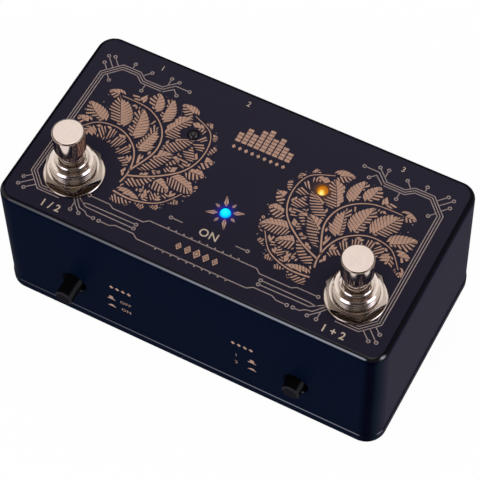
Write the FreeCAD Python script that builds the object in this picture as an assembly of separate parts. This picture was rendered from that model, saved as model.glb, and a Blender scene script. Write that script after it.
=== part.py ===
import FreeCAD, Part
import math
import os

from FreeCAD import Vector

os.makedirs("parts", exist_ok=True)

# Two-button AB switching pedal in a die-cast box.
# Millimetres, +Z up, +X to the right, the front wall faces -Y.
# The origin is the middle of the underside, on the surface that the pedal stands on.

# Die-cast box and its screwed base
box_length = 112.4
box_width = 60.5
box_height = 42.5
box_lean = 0.75
corner_radius = 5.6
inner_corner_radius = 3.0
top_edge_radius = 1.8
side_wall = 2.3
top_wall = 2.3
base_thickness = 3.2
base_edge_radius = 0.5
base_top_bevel = 0.18
seam_reveal = 0.15
lip_width = 1.4
lip_height = 1.5
lip_clearance = 0.3
lip_corner_radius = 1.5
boss_radius = 3.6
boss_from_edge = 5.0
boss_clearance = 0.4

# Countersunk base screws
screw_radius = 1.7
screw_length = 12.0
screw_head_radius = 3.3
screw_head_height = 1.7
screw_clearance = 0.05
screw_tip_room = 1.5
screw_slot_width = 1.0
screw_slot_length = 4.2
screw_slot_depth = 1.0

# Panel layout, from the edges of the box
panel_offset = 0.7
footswitch_from_end = 15.7
footswitch_from_front = 15.75
lamp_pair_spacing = 37.8
lamp_pair_from_back = 20.15
middle_lamp_from_front = 22.85
side_jack_from_end = 20.9
middle_jack_x = -7.5
power_jack_x = 12.5
push_button_from_end = 23.2
push_button_offset = -0.55

# Footswitch
thread_radius = 5.95
thread_depth = 0.42
thread_pitch = 0.75
thread_crest_share = 0.1
bushing_height = 11.8
bushing_chamfer = 0.5
bushing_foot_radius = 5.5
bushing_ring_radius = 4.35
bushing_ring_height = 1.1
bushing_step_depth = 7.6
neck_radius = 3.42
cap_gap = 0.7
neck_clearance = 0.08
cap_radius = 4.2
cap_height = 6.4
cap_edge_radius = 0.22
cap_crown_width = 0.48
cap_crown_height = 0.45
quarter_oval = 0.5523
shoulder_radius = 4.5
shoulder_height = 2.0
shoulder_clearance = 0.1
shaft_radius = 2.2
shaft_length = 9.5
footswitch_travel = 3.8
frame_gap = 0.4
frame_thickness = 0.8
housing_side = 15.0
housing_height = 13.4
housing_floor = 3.4
cavity_radius = 4.8
frame_leg_length = 10.0
terminal_count = 3
terminal_pitch = 4.8
terminal_width = 1.8
terminal_thickness = 0.6
spring_wire_radius = 0.35
spring_radius = 3.2
spring_turns = 8
spring_end_clearance = 0.01

# Footswitch nuts and washers
nut_flats = 14.0
nut_height = 2.4
inner_nut_height = 2.0
nut_clearance = 0.05
nut_face_share = 0.96
nut_chamfer_angle = 30.0
nut_turns = {"left": 0.0, "right": 4.0}
upright_turn = 90.0
washer_radius = 8.05
washer_thickness = 0.8
rim_edge_share = 0.25
lock_washer_radius = 7.6
lock_washer_thickness = 0.6
panel_hole_clearance = 0.15

# Circuit board and what is soldered to it
board_gap = 2.55
board_thickness = 1.6
board_corner_radius = 1.5
board_margin = 0.8
board_end_margin = 6.4
pin_clearance = 0.1
pin_reach = 0.65
terminal_stop = 0.2
relay_length = 14.0
relay_width = 9.0
relay_height = 9.5
relay_spacing = 16.0
relay_from_board_front = 12.4
chip_length = 9.5
chip_width = 6.5
chip_height = 3.5
chip_spacing = 40.0
chip_row_pitch = 20.0
chip_from_lugs = 2.95
capacitor_radius = 3.15
capacitor_height = 10.5

# Jacks for 6.35 mm plugs
jack_bore_radius = 3.23
jack_thread_radius = 4.7
jack_thread_depth = 0.4
jack_thread_pitch = 0.8
jack_reach = 3.1
jack_spigot_radius = 5.2
jack_spigot_length = 9.0
jack_spigot_clearance = 0.05
jack_housing_width = 15.0
jack_housing_depth = 24.8
jack_above_board = 9.15
jack_roof = 7.6
jack_rear_wall = 1.2
jack_passage_radius = 3.4
jack_nut_flats = 13.0
jack_nut_height = 2.2
jack_washer_radius = 7.6
jack_washer_thickness = 0.5
contact_width = 2.4
contact_thickness = 0.4
contact_arm = 4.0
contact_slot_clearance = 0.3

# Power inlet for a 5.5 mm barrel plug
power_thread_radius = 5.9
power_bezel_radius = 7.0
power_bezel_thickness = 2.0
power_bore_radius = 2.95
power_bore_depth = 11.5
power_pin_radius = 1.05
power_pin_recess = 1.2
power_pin_edge = 0.35
power_body_depth = 13.4
power_nut_flats = 14.0
power_nut_height = 2.4
power_lug_width = 2.0
power_lug_thickness = 0.6
power_lug_spacing = 4.0

# Indicator lamps
lamp_radius = 1.5
lamp_reach = 0.85
lamp_length = 5.2
lamp_flange_radius = 1.9
lamp_flange_height = 1.0
lamp_hole_clearance = 0.1
lead_side = 0.5
lead_pitch = 2.54
spacer_radius = 2.4

# Latching push switches behind the front wall
push_body_side = 7.5
push_body_depth = 12.5
push_body_gap = 3.6
push_body_wall = 1.2
push_cavity_side = 4.8
push_stem_side = 3.0
push_stem_clearance = 0.15
push_shoulder_side = 4.4
push_shoulder_length = 2.0
push_socket_depth = 5.2
push_fit_clearance = 0.05
push_cap_radius = 2.5
push_cap_length = 9.0
push_cap_edge_radius = 0.45
push_cap_out = 5.8
push_latch_depth = 2.6
push_travel = 3.0
push_hole_radius = 3.6
push_hole_flare = 0.25
push_pin_side = 0.7
push_pin_spacing = 4.5
push_pin_pitch = 4.6
push_spring_radius = 1.7
push_spring_wire = 0.4

# Heights worked out from the top of the box down to the board
ceiling = box_height - top_wall
lock_washer_low = ceiling - lock_washer_thickness
inner_nut_low = lock_washer_low - inner_nut_height
frame_top = inner_nut_low - frame_gap
frame_low = frame_top - frame_thickness
housing_low = frame_low - housing_height
board_top = housing_low - board_gap
board_low = board_top - board_thickness
bushing_top = frame_top + bushing_height
ring_top = bushing_top + bushing_ring_height
step_height = bushing_top - bushing_step_depth + bushing_ring_height
cap_low = ring_top + footswitch_travel + cap_gap
cap_top = cap_low + cap_height
pin_low = board_low - pin_reach
jack_axis = board_top + jack_above_board
push_axis = board_low - push_body_side / 2

# Half sizes of the inside of the box
inner_x = box_length / 2 - box_lean - side_wall
inner_y = box_width / 2 - box_lean - side_wall

# Places on the panels
footswitch_y = -box_width / 2 + footswitch_from_front
footswitch_x = box_length / 2 - footswitch_from_end
footswitch_places = {"left": panel_offset - footswitch_x, "right": panel_offset + footswitch_x}
side_jack_x = box_length / 2 - side_jack_from_end
jack_places = {"left": -side_jack_x, "middle": middle_jack_x, "right": side_jack_x}
push_x = box_length / 2 - push_button_from_end
push_places = {"left": push_button_offset - push_x, "right": push_button_offset + push_x}
push_insets = {"left": 0.0, "right": push_latch_depth}
lamp_places = {
    "left": (panel_offset - lamp_pair_spacing / 2, box_width / 2 - lamp_pair_from_back),
    "middle": (panel_offset, -box_width / 2 + middle_lamp_from_front),
    "right": (panel_offset + lamp_pair_spacing / 2, box_width / 2 - lamp_pair_from_back),
}


def lean_at(height):
    """How far a side wall stands in from the base outline at a height."""
    return box_lean * height / box_height


def block(x_span, y_span, z_span):
    """A square-cornered block from three (low, high) pairs."""
    size = [span[1] - span[0] for span in (x_span, y_span, z_span)]
    return Part.makeBox(size[0], size[1], size[2], Vector(x_span[0], y_span[0], z_span[0]))


def centred(middle, width):
    """The (low, high) pair of a width about a middle."""
    return (middle - width / 2, middle + width / 2)


def revolved(outline):
    """A solid turned about Z from a closed outline in the XZ plane."""
    return Part.Face(outline).revolve(Vector(0, 0, 0), Vector(0, 0, 1), 360)


def turned(points):
    """A solid turned about Z from its (radius, height) outline."""
    corners = [Vector(radius, 0, height) for radius, height in points]
    return revolved(Part.makePolygon(corners + corners[:1]))


def at(shape, x, y, z=0.0):
    """The shape moved to a place."""
    shape.translate(Vector(x, y, z))
    return shape


def facing_back(shape):
    """The shape with its own +Z turned to +Y."""
    shape.rotate(Vector(0, 0, 0), Vector(1, 0, 0), -90)
    return shape


def rod(radius, z_span, x=0.0, y=0.0):
    """An upright round rod."""
    return Part.makeCylinder(radius, z_span[1] - z_span[0], Vector(x, y, z_span[0]))


def rod_y(radius, y_span, x, z):
    """A round rod along Y."""
    length = y_span[1] - y_span[0]
    return Part.makeCylinder(radius, length, Vector(x, y_span[0], z), Vector(0, 1, 0))


def rounded_outline(length, width, radius, height):
    """A rectangle with round corners, lying at a height."""
    x, y = length / 2 - radius, width / 2 - radius
    reach = radius * math.sqrt(0.5)
    edges = []
    corners = [(x, y, 1, 1), (-x, y, -1, 1), (-x, -y, -1, -1), (x, -y, 1, -1)]
    for index, (cx, cy, sx, sy) in enumerate(corners):
        along_x = Vector(cx + sx * radius, cy, height)
        along_y = Vector(cx, cy + sy * radius, height)
        middle = Vector(cx + sx * reach, cy + sy * reach, height)
        start, end = (along_x, along_y) if index % 2 == 0 else (along_y, along_x)
        edges.append(Part.Arc(start, middle, end).toShape())
    sides = []
    for index, edge in enumerate(edges):
        after = edges[(index + 1) % 4]
        sides.append(edge)
        sides.append(Part.LineSegment(edge.Vertexes[-1].Point, after.Vertexes[0].Point).toShape())
    return Part.Wire(Part.__sortEdges__(sides))


def rounded_slab(length, width, radius, z_span):
    """An upright slab with round corners."""
    face = Part.Face(rounded_outline(length, width, radius, z_span[0]))
    return face.extrude(Vector(0, 0, z_span[1] - z_span[0]))


def edges_at(shape, height):
    """The edges that lie flat at a height."""
    level = []
    for edge in shape.Edges:
        bounds = edge.BoundBox
        if abs(bounds.ZMin - height) < 1e-5 and abs(bounds.ZMax - height) < 1e-5:
            level.append(edge)
    return level


def hexagon_nut(flats, height, bore, turn):
    """A hexagon nut standing at zero, chamfered on both faces, with a corner at the angle from X."""
    corner = flats / math.sqrt(3)
    points = []
    for step in range(7):
        angle = math.radians(turn + 60 * step)
        points.append(Vector(corner * math.cos(angle), corner * math.sin(angle), 0))
    prism = Part.Face(Part.makePolygon(points)).extrude(Vector(0, 0, height))
    flat_radius = flats / 2 * nut_face_share
    drop = (corner - flat_radius) * math.tan(math.radians(nut_chamfer_angle))
    lens = turned([(0, 0), (flat_radius, 0), (corner, drop), (corner, height - drop),
                   (flat_radius, height), (0, height)])
    return prism.common(lens).cut(rod(bore, (-1, height + 1)))


def ring(outer, inner, height):
    """A flat washer standing at zero."""
    edge = height * rim_edge_share
    return turned([(inner, 0), (outer - edge, 0), (outer, edge), (outer, height - edge),
                   (outer - edge, height), (inner, height)])


def threaded_outline(radius, depth, pitch, low, high):
    """Points (radius, height) up a threaded length, as grooves one pitch apart."""
    points = [(radius, low)]
    grooves = int((high - low) / pitch) - 1
    start = low + ((high - low) - grooves * pitch) / 2
    crest = pitch * thread_crest_share
    for groove in range(grooves):
        base = start + groove * pitch
        points.append((radius, base + crest))
        points.append((radius - depth, base + pitch / 2))
        points.append((radius, base + pitch - crest))
    points.append((radius, high))
    return points


def coil(radius, wire_radius, low, high, turns):
    """A compression spring between two heights, wound as half circles that tilt by turns."""
    inset = wire_radius + spring_end_clearance
    rise = (high - low - 2 * inset) / (2 * turns)
    arc_radius = math.hypot(radius, rise / 2)
    arcs = []
    for step in range(2 * turns):
        side = 1 if step % 2 == 0 else -1
        start = Vector(side * radius, 0, step * rise)
        middle = Vector(0, side * arc_radius, (step + 0.5) * rise)
        end = Vector(-side * radius, 0, (step + 1) * rise)
        arcs.append(Part.Arc(start, middle, end).toShape())
    section = Part.Wire(Part.makeCircle(wire_radius, Vector(radius, 0, 0), Vector(0, 1, 0)))
    return at(Part.Wire(arcs).makePipeShell([section], True, False), 0, 0, low + inset)


def save(name, *solids):
    """Write one piece, or one group of alike pieces, to its file."""
    shape = solids[0] if len(solids) == 1 else Part.makeCompound(list(solids))
    for solid in shape.Solids:
        if not solid.isValid() or solid.Volume <= 0:
            raise ValueError("bad solid in " + name)
    shape.exportStep("parts/" + name + ".step")


def corner_places():
    """The four screw columns in the corners."""
    x = box_length / 2 - boss_from_edge
    y = box_width / 2 - boss_from_edge
    return [(sx * x, sy * y) for sx in (-1, 1) for sy in (-1, 1)]


def footswitch_holes():
    """The two panel holes for the footswitch bushings."""
    radius = thread_radius + panel_hole_clearance
    return [rod(radius, (ceiling - 1, box_height + 1), x, footswitch_y)
            for x in footswitch_places.values()]


def wall_holes():
    """The holes through the back wall and the front wall."""
    out = box_width / 2 + 1
    holes = [rod_y(jack_thread_radius + panel_hole_clearance, (inner_y - 1, out), x, jack_axis)
             for x in jack_places.values()]
    power_radius = power_thread_radius + panel_hole_clearance
    holes.append(rod_y(power_radius, (inner_y - 1, out), power_jack_x, jack_axis))
    for x in push_places.values():
        holes.append(rod_y(push_hole_radius, (-out, 1 - inner_y), x, push_axis))
        mouth = box_width / 2 - lean_at(push_axis)
        edge = push_hole_flare
        flare = turned([(0, -edge), (push_hole_radius, -edge), (push_hole_radius + 2 * edge, edge), (0, edge)])
        flare.rotate(Vector(0, 0, 0), Vector(1, 0, 0), 90)
        holes.append(at(flare, x, -mouth, push_axis))
    return holes


def enclosure_shell():
    low_inset = lean_at(base_thickness) + seam_reveal
    top_inset = box_lean
    low = rounded_outline(box_length - 2 * low_inset, box_width - 2 * low_inset,
                          corner_radius - low_inset, base_thickness)
    high = rounded_outline(box_length - 2 * top_inset, box_width - 2 * top_inset,
                           corner_radius - top_inset, box_height)
    outside = Part.makeLoft([low, high], True, True)
    outside = outside.makeFillet(top_edge_radius, edges_at(outside, box_height))
    inside = rounded_slab(2 * inner_x, 2 * inner_y, inner_corner_radius, (base_thickness - 1, ceiling))
    shell = outside.cut(inside)
    bosses = [rod(boss_radius, (base_thickness, ceiling + 1), x, y) for x, y in corner_places()]
    shell = shell.fuse([boss.common(outside) for boss in bosses])
    hole_top = screw_length + screw_tip_room
    holes = [rod(screw_radius + screw_clearance, (0, hole_top), x, y) for x, y in corner_places()]
    holes += footswitch_holes() + wall_holes()
    lamp_hole = lamp_radius + lamp_hole_clearance
    holes += [rod(lamp_hole, (ceiling - 1, box_height + 1), x, y) for x, y in lamp_places.values()]
    return shell.cut(holes).removeSplitter()


def screw_outline(clearance):
    """The (radius, height) outline of a countersunk screw, head down."""
    radius = screw_radius + clearance
    head = screw_head_radius + clearance
    return [(0, 0), (head, 0), (head, clearance), (radius, screw_head_height + clearance),
            (radius, screw_length), (0, screw_length)]


def base_plate():
    plate = rounded_slab(box_length, box_width, corner_radius, (0, base_thickness))
    plate = plate.makeFillet(base_edge_radius, edges_at(plate, 0))
    plate = plate.makeChamfer(base_top_bevel, edges_at(plate, base_thickness))
    outer = 2 * lip_clearance
    inner = outer + 2 * lip_width
    lip_span = (base_thickness, base_thickness + lip_height)
    lip = rounded_slab(2 * inner_x - outer, 2 * inner_y - outer, inner_corner_radius, lip_span)
    lip = lip.cut(rounded_slab(2 * inner_x - inner, 2 * inner_y - inner, lip_corner_radius,
                               (lip_span[0] - 1, lip_span[1] + 1)))
    gap = boss_radius + boss_clearance
    lip = lip.cut([rod(gap, (lip_span[0] - 1, lip_span[1] + 1), x, y) for x, y in corner_places()])
    screws = [at(turned(screw_outline(screw_clearance)), x, y) for x, y in corner_places()]
    return plate.fuse(lip).cut(screws).removeSplitter()


def base_screws():
    screws = []
    for x, y in corner_places():
        screw = turned(screw_outline(0))
        for angle in (0, 90):
            slot = block(centred(0, screw_slot_length), centred(0, screw_slot_width), (-1, screw_slot_depth))
            slot.rotate(Vector(0, 0, 0), Vector(0, 0, 1), 45 + angle)
            screw = screw.cut(slot)
        screws.append(at(screw, x, y))
    return screws


def footswitch_bushing():
    """Threaded neck of the footswitch, with the stepped ring that guides the plunger."""
    bore = neck_radius + neck_clearance
    counterbore = shoulder_radius + shoulder_clearance
    chamfer = bushing_chamfer
    ring_edge = bushing_ring_height * rim_edge_share
    points = [(counterbore, frame_low), (bushing_foot_radius, frame_low), (bushing_foot_radius, frame_top)]
    points += threaded_outline(thread_radius, thread_depth, thread_pitch, frame_top, bushing_top - chamfer)
    points += [(thread_radius - chamfer, bushing_top), (bushing_ring_radius, bushing_top),
               (bushing_ring_radius, ring_top - ring_edge), (bushing_ring_radius - ring_edge, ring_top),
               (bore, ring_top), (bore, step_height), (counterbore, step_height)]
    return turned(points)


def cap_crown():
    """The quarter oval from the side of the cap to its flat top."""
    side = cap_radius
    flat = cap_radius - cap_crown_width
    low = cap_top - cap_crown_height
    curve = Part.BezierCurve()
    curve.setPoles([Vector(side, 0, low), Vector(side, 0, low + cap_crown_height * quarter_oval),
                    Vector(flat + cap_crown_width * quarter_oval, 0, cap_top), Vector(flat, 0, cap_top)])
    return curve.toShape()


def footswitch_plunger():
    """Round cap, neck, shoulder and shaft, turned from one bar."""
    edge = cap_edge_radius
    shoulder_low = step_height - shoulder_height
    shaft_low = shoulder_low - shaft_length
    points = [(cap_radius - cap_crown_width, cap_top), (0, cap_top), (0, shaft_low), (shaft_radius - edge, shaft_low),
              (shaft_radius, shaft_low + edge), (shaft_radius, shoulder_low), (shoulder_radius, shoulder_low),
              (shoulder_radius, step_height), (neck_radius, step_height), (neck_radius, cap_low),
              (cap_radius - edge, cap_low), (cap_radius, cap_low + edge), (cap_radius, cap_top - cap_crown_height)]
    sides = Part.makePolygon([Vector(radius, 0, height) for radius, height in points])
    return revolved(Part.Wire(sides.Edges + [cap_crown()]))


def footswitch_frame():
    """Steel plate under the bushing, with two legs down the sides of the housing."""
    side = centred(0, housing_side)
    frame = block(side, side, (frame_low, frame_top))
    for sign in (-1, 1):
        leg = centred(sign * (housing_side - frame_thickness) / 2, frame_thickness)
        frame = frame.fuse(block(side, leg, (frame_low - frame_leg_length, frame_low)))
    hole = rod(bushing_foot_radius + nut_clearance, (frame_low - 1, frame_top + 1))
    return frame.cut(hole).removeSplitter()


def footswitch_housing():
    """Moulded block with a round well for the spring and the shaft."""
    depth = housing_side - 2 * frame_thickness
    housing = block(centred(0, housing_side), centred(0, depth), (housing_low, frame_low))
    return housing.cut(rod(cavity_radius, (housing_low + housing_floor, frame_low + 1)))


def terminal_grid():
    """The middles of the solder lugs under a footswitch."""
    middle = (terminal_count - 1) / 2
    steps = [(index - middle) * terminal_pitch for index in range(terminal_count)]
    return [(x, y) for x in steps for y in steps]


def footswitch_terminals():
    return [block(centred(x, terminal_width), centred(y, terminal_thickness),
                  (board_low + terminal_stop, housing_low)) for x, y in terminal_grid()]


def footswitch_spring():
    low = housing_low + housing_floor
    return coil(spring_radius, spring_wire_radius, low, step_height - shoulder_height, spring_turns)


def save_footswitches():
    makers = {"bushing": footswitch_bushing, "plunger": footswitch_plunger, "frame": footswitch_frame,
              "housing": footswitch_housing, "spring": footswitch_spring}
    fasteners = {"footswitch_washers": [], "footswitch_nuts": [], "footswitch_inner_nuts": [],
                 "footswitch_lock_washers": []}
    bore = thread_radius + nut_clearance
    for side, x in footswitch_places.items():
        for piece, make in makers.items():
            save("footswitch_" + side + "_" + piece, at(make(), x, footswitch_y))
        lugs = [at(lug, x, footswitch_y) for lug in footswitch_terminals()]
        save("footswitch_" + side + "_terminals", *lugs)
        washer = ring(washer_radius, bore, washer_thickness)
        fasteners["footswitch_washers"].append(at(washer, x, footswitch_y, box_height))
        nut = hexagon_nut(nut_flats, nut_height, bore, nut_turns[side])
        fasteners["footswitch_nuts"].append(at(nut, x, footswitch_y, box_height + washer_thickness))
        inner_nut = hexagon_nut(nut_flats, inner_nut_height, bore, upright_turn)
        fasteners["footswitch_inner_nuts"].append(at(inner_nut, x, footswitch_y, inner_nut_low))
        lock = ring(lock_washer_radius, bore, lock_washer_thickness)
        fasteners["footswitch_lock_washers"].append(at(lock, x, footswitch_y, lock_washer_low))
    for name, solids in fasteners.items():
        save(name, *solids)


def jack_span():
    """Where a jack's sleeve starts inside and ends outside."""
    return (inner_y - jack_spigot_length, box_width / 2 + jack_reach)


def wall_face():
    """The y of the flat that the outside washers seat on, where the wall leans out most."""
    return box_width / 2 - lean_at(jack_axis - jack_washer_radius)


def jack_sleeve():
    """Threaded metal sleeve that the plug slides into."""
    low, high = jack_span()
    end = high - jack_thread_depth
    points = [(jack_bore_radius, low), (jack_spigot_radius, low), (jack_spigot_radius, inner_y)]
    points += threaded_outline(jack_thread_radius, jack_thread_depth, jack_thread_pitch, inner_y, end)
    points += [(jack_thread_radius - jack_thread_depth, high), (jack_bore_radius + jack_thread_depth, high),
               (jack_bore_radius, end)]
    return facing_back(turned(points))


def jack_housing():
    """Moulded block on the board, bored for the sleeve and for the end of the plug."""
    rear = inner_y - jack_housing_depth
    housing = block(centred(0, jack_housing_width), (rear, inner_y), (-jack_above_board, jack_roof))
    sleeve_room = rod_y(jack_spigot_radius + jack_spigot_clearance, (jack_span()[0], inner_y + 1), 0, 0)
    passage = rod_y(jack_passage_radius, (rear + jack_rear_wall, inner_y + 1), 0, 0)
    slot_width = contact_width + 2 * contact_slot_clearance
    slot_low = rear + jack_rear_wall
    slot_high = slot_low + contact_arm + 2 * contact_slot_clearance
    slot = block(centred(0, slot_width), (slot_low, slot_high), (-jack_above_board - 1, 0))
    ground = block(centred(0, slot_width), ground_span(contact_slot_clearance), (-jack_above_board - 1, 0))
    return housing.cut([sleeve_room, passage, slot, ground])


def ground_span(clearance):
    """The y span of the earth contact below the sleeve."""
    middle = jack_span()[0] + jack_spigot_length / 2
    low, high = centred(middle, contact_thickness)
    return (low - clearance, high + clearance)


def jack_contacts():
    """The tip spring at the far end of the passage and the earth strip under the sleeve."""
    rear = inner_y - jack_housing_depth + jack_rear_wall
    width = centred(0, contact_width)
    strip_low = pin_low - jack_axis
    arm_top = -jack_passage_radius
    rise = block(width, (rear, rear + contact_thickness), (strip_low, arm_top))
    arm = block(width, (rear, rear + contact_arm), (arm_top - contact_thickness, arm_top))
    earth = block(width, ground_span(0), (strip_low, -jack_spigot_radius))
    return [rise.fuse(arm).removeSplitter(), earth]


def save_jacks():
    washers = []
    nuts = []
    seat = wall_face()
    bore = jack_thread_radius + nut_clearance
    for name, x in jack_places.items():
        save("jack_" + name + "_sleeve", at(jack_sleeve(), x, 0, jack_axis))
        save("jack_" + name + "_housing", at(jack_housing(), x, 0, jack_axis))
        save("jack_" + name + "_contacts", *[at(strip, x, 0, jack_axis) for strip in jack_contacts()])
        washer = facing_back(ring(jack_washer_radius, bore, jack_washer_thickness))
        washers.append(at(washer, x, seat, jack_axis))
        nut = facing_back(hexagon_nut(jack_nut_flats, jack_nut_height, bore, upright_turn))
        nuts.append(at(nut, x, seat + jack_washer_thickness, jack_axis))
    save("jack_washers", *washers)
    save("jack_nuts", *nuts)


def power_seat():
    """The y of the flat under the power inlet's bezel."""
    return box_width / 2 - lean_at(jack_axis - power_bezel_radius)


def power_rear():
    """The y of the back of the power inlet's body."""
    return inner_y - power_body_depth


def power_housing():
    """Moulded inlet with a bezel outside and a well around the pin."""
    seat, rear = power_seat(), power_rear()
    mouth = seat + power_bezel_thickness
    floor = mouth - power_bore_depth
    edge = power_bezel_thickness * rim_edge_share
    points = [(0, rear), (power_thread_radius, rear), (power_thread_radius, seat), (power_bezel_radius, seat),
              (power_bezel_radius, mouth - edge), (power_bezel_radius - edge, mouth),
              (power_bore_radius, mouth), (power_bore_radius, floor), (0, floor)]
    body = facing_back(turned(points))
    pin_hole = rod_y(power_pin_radius + nut_clearance, (rear - 1, floor + 1), 0, 0)
    return body.cut(pin_hole)


def power_pin():
    mouth = power_seat() + power_bezel_thickness
    tip = mouth - power_pin_recess
    edge = power_pin_edge
    rear = power_rear()
    return facing_back(turned([(0, rear), (power_pin_radius, rear), (power_pin_radius, tip - edge),
                               (power_pin_radius - edge, tip), (0, tip)]))


def power_lugs():
    """Two strips from the back of the inlet down through the board."""
    rear = power_rear()
    span = (rear - power_lug_thickness, rear)
    places = (0, power_lug_spacing)
    return [block(centred(x, power_lug_width), span, (pin_low - jack_axis, power_lug_width / 2)) for x in places]


def save_power_inlet():
    save("power_inlet_housing", at(power_housing(), power_jack_x, 0, jack_axis))
    save("power_inlet_pin", at(power_pin(), power_jack_x, 0, jack_axis))
    save("power_inlet_lugs", *[at(lug, power_jack_x, 0, jack_axis) for lug in power_lugs()])
    bore = power_thread_radius + nut_clearance
    nut = facing_back(hexagon_nut(power_nut_flats, power_nut_height, bore, upright_turn))
    save("power_inlet_nut", at(nut, power_jack_x, inner_y - power_nut_height, jack_axis))


def lamp():
    """A small domed lamp with a flange under the panel."""
    top = box_height + lamp_reach
    low = top - lamp_length
    barrel = turned([(0, low), (lamp_flange_radius, low), (lamp_flange_radius, low + lamp_flange_height),
                     (lamp_radius, low + lamp_flange_height), (lamp_radius, top - lamp_radius),
                     (0, top - lamp_radius)])
    dome = Part.makeSphere(lamp_radius, Vector(0, 0, top - lamp_radius))
    return barrel.fuse(dome).removeSplitter()


def lead_places():
    """The middles of every lamp lead."""
    return [(x + sign * lead_pitch / 2, y) for x, y in lamp_places.values() for sign in (-1, 1)]


def save_lamps():
    lamp_low = box_height + lamp_reach - lamp_length
    leads = [block(centred(x, lead_side), centred(y, lead_side), (pin_low, lamp_low)) for x, y in lead_places()]
    spacers = []
    for name, (x, y) in lamp_places.items():
        save("lamp_" + name, at(lamp(), x, y))
        spacer = rod(spacer_radius, (board_top, lamp_low), x, y)
        side = lead_side + pin_clearance
        for sign in (-1, 1):
            slot = block(centred(x + sign * lead_pitch / 2, side), centred(y, side), (board_top - 1, lamp_low + 1))
            spacer = spacer.cut(slot)
        spacers.append(spacer)
    save("lamp_leads", *leads)
    save("lamp_spacers", *spacers)


def push_front():
    """The y of the front face of a push switch's body."""
    return -inner_y + push_body_gap


def push_pin_places():
    """The middles of one push switch's pins, from its own axis."""
    middle = push_front() + push_body_depth / 2
    return [(sign * push_pin_spacing / 2, middle + step * push_pin_pitch)
            for sign in (-1, 1) for step in (-1, 0, 1)]


def push_body():
    """Moulded switch body with a square way through its front for the stem."""
    front = push_front()
    rear = front + push_body_depth
    side = centred(0, push_body_side)
    body = block(side, (front, rear), side)
    cavity = centred(0, push_cavity_side)
    body = body.cut(block(cavity, (front + push_body_wall, rear - push_body_wall), cavity))
    way = centred(0, push_stem_side + 2 * push_stem_clearance)
    return body.cut(block(way, (front - 1, front + push_body_wall + 1), way))


def push_cap_front():
    """The y of the button's face with the switch out."""
    return -(box_width / 2 - lean_at(push_axis)) - push_cap_out


def push_stem():
    """Square stem from inside the button back to its shoulder."""
    shoulder_low = push_front() + push_body_wall
    stem_low = push_cap_front() + push_cap_length - push_socket_depth + 2 * push_fit_clearance
    side = centred(0, push_stem_side)
    wide = centred(0, push_shoulder_side)
    stem = block(side, (stem_low, shoulder_low), side)
    shoulder = block(wide, (shoulder_low, shoulder_low + push_shoulder_length), wide)
    return stem.fuse(shoulder).removeSplitter()


def push_cap():
    """Round button pressed onto the stem."""
    front = push_cap_front()
    rear = front + push_cap_length
    edge = push_cap_edge_radius
    cap = facing_back(turned([(0, front), (push_cap_radius - edge, front), (push_cap_radius, front + edge),
                              (push_cap_radius, rear), (0, rear)]))
    socket = centred(0, push_stem_side + 2 * push_fit_clearance)
    return cap.cut(block(socket, (rear - push_socket_depth, rear + 1), socket))


def push_spring():
    """The switch's return spring as a plain sleeve of its shortest length."""
    rear = push_front() + push_body_depth - push_body_wall
    free = push_body_depth - 2 * push_body_wall - push_shoulder_length
    length = free - push_travel
    inner = push_spring_radius - push_spring_wire
    sleeve = rod_y(push_spring_radius, (rear - length, rear), 0, 0)
    return sleeve.cut(rod_y(inner, (rear - length - 1, rear + 1), 0, 0))


def save_push_switches():
    top = push_body_side / 2 + board_thickness + pin_reach
    for name, x in push_places.items():
        inset = push_insets[name]
        save("push_switch_" + name + "_body", at(push_body(), x, 0, push_axis))
        save("push_switch_" + name + "_spring", at(push_spring(), x, 0, push_axis))
        save("push_switch_" + name + "_stem", at(push_stem(), x, inset, push_axis))
        save("push_switch_" + name + "_cap", at(push_cap(), x, inset, push_axis))
        pins = [block(centred(px, push_pin_side), centred(py, push_pin_side), (push_body_side / 2, top))
                for px, py in push_pin_places()]
        save("push_switch_" + name + "_pins", *[at(pin, x, 0, push_axis) for pin in pins])


def board_slots():
    """Every opening in the board for a lug, strip, lead or pin."""
    span = (board_low - 1, board_top + 1)
    play = 2 * pin_clearance
    slots = []
    for x in footswitch_places.values():
        for px, py in terminal_grid():
            slots.append(block(centred(x + px, terminal_width + play),
                               centred(footswitch_y + py, terminal_thickness + play), span))
    rear = inner_y - jack_housing_depth + jack_rear_wall + contact_thickness / 2
    earth = sum(ground_span(0)) / 2
    for x in jack_places.values():
        for y in (rear, earth):
            slots.append(block(centred(x, contact_width + play), centred(y, contact_thickness + play), span))
    lug_y = power_rear() - power_lug_thickness / 2
    for x in (power_jack_x, power_jack_x + power_lug_spacing):
        slots.append(block(centred(x, power_lug_width + play), centred(lug_y, power_lug_thickness + play), span))
    for x, y in lead_places():
        slots.append(block(centred(x, lead_side + play), centred(y, lead_side + play), span))
    for x in push_places.values():
        for px, py in push_pin_places():
            slots.append(block(centred(x + px, push_pin_side + play), centred(py, push_pin_side + play), span))
    return slots


def main_board():
    length = 2 * (inner_x - board_end_margin)
    width = 2 * (inner_y - board_margin)
    board = rounded_slab(length, width, board_corner_radius, (board_low, board_top))
    return board.cut(board_slots())


def save_board():
    save("main_board", main_board())
    relay_y = board_margin - inner_y + relay_from_board_front
    relays = [block(centred(sign * relay_spacing / 2, relay_length), centred(relay_y, relay_width),
                    (board_low - relay_height, board_low)) for sign in (-1, 1)]
    save("board_relays", *relays)
    rear_row = power_rear() + chip_from_lugs + chip_width / 2
    chips = [block(centred(sign * chip_spacing / 2, chip_length), centred(y, chip_width),
                   (board_low - chip_height, board_low))
             for sign in (-1, 1) for y in (rear_row - chip_row_pitch, rear_row)]
    save("board_chips", *chips)
    capacitor_y = rear_row - chip_row_pitch / 2
    capacitor_x = side_jack_x - jack_housing_width / 2
    capacitors = [rod(capacitor_radius, (board_low - capacitor_height, board_low), x, capacitor_y)
                  for x in (-capacitor_x, 0, capacitor_x)]
    save("board_capacitors", *capacitors)


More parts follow.
